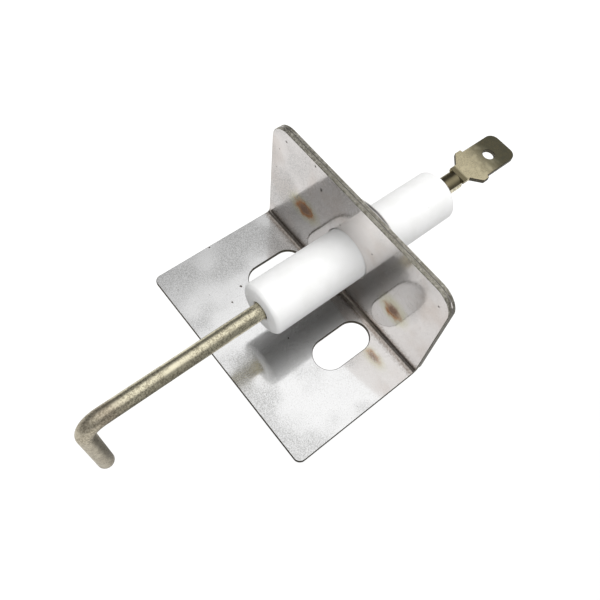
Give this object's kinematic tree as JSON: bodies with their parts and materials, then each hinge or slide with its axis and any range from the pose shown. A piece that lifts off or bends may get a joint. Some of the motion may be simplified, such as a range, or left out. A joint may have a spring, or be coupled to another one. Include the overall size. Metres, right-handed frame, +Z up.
{
  "type": "ignition electrode",
  "caption": "Gas burner ignition electrode: bent metal rod in a white ceramic tube held in a slotted steel angle bracket, with a flat push-on terminal.",
  "frame": {"origin": "on the underside of the bracket's base, midway between its two slots", "axes": "+Z up from the base through the upright, +Y along the rod from its sparking tip to its terminal, +X across the bracket"},
  "size_m": [0.04, 0.0853, 0.0299],
  "materials": {
    "sheet_steel": "bright rolled sheet",
    "weld_metal": "as welded",
    "alumina": "matt fired",
    "cement": "rough, set",
    "rod_alloy": "heat-tinted satin",
    "terminal_metal": "dull nickel, heat-tinted"
  },
  "bodies": {
    "root": {"bracket": "sheet_steel", "retaining_sheet": "sheet_steel", "spot_welds": "weld_metal", "insulator": "alumina", "cement": "cement", "rod": "rod_alloy", "terminal": "terminal_metal"}
  },
  "joints": []
}
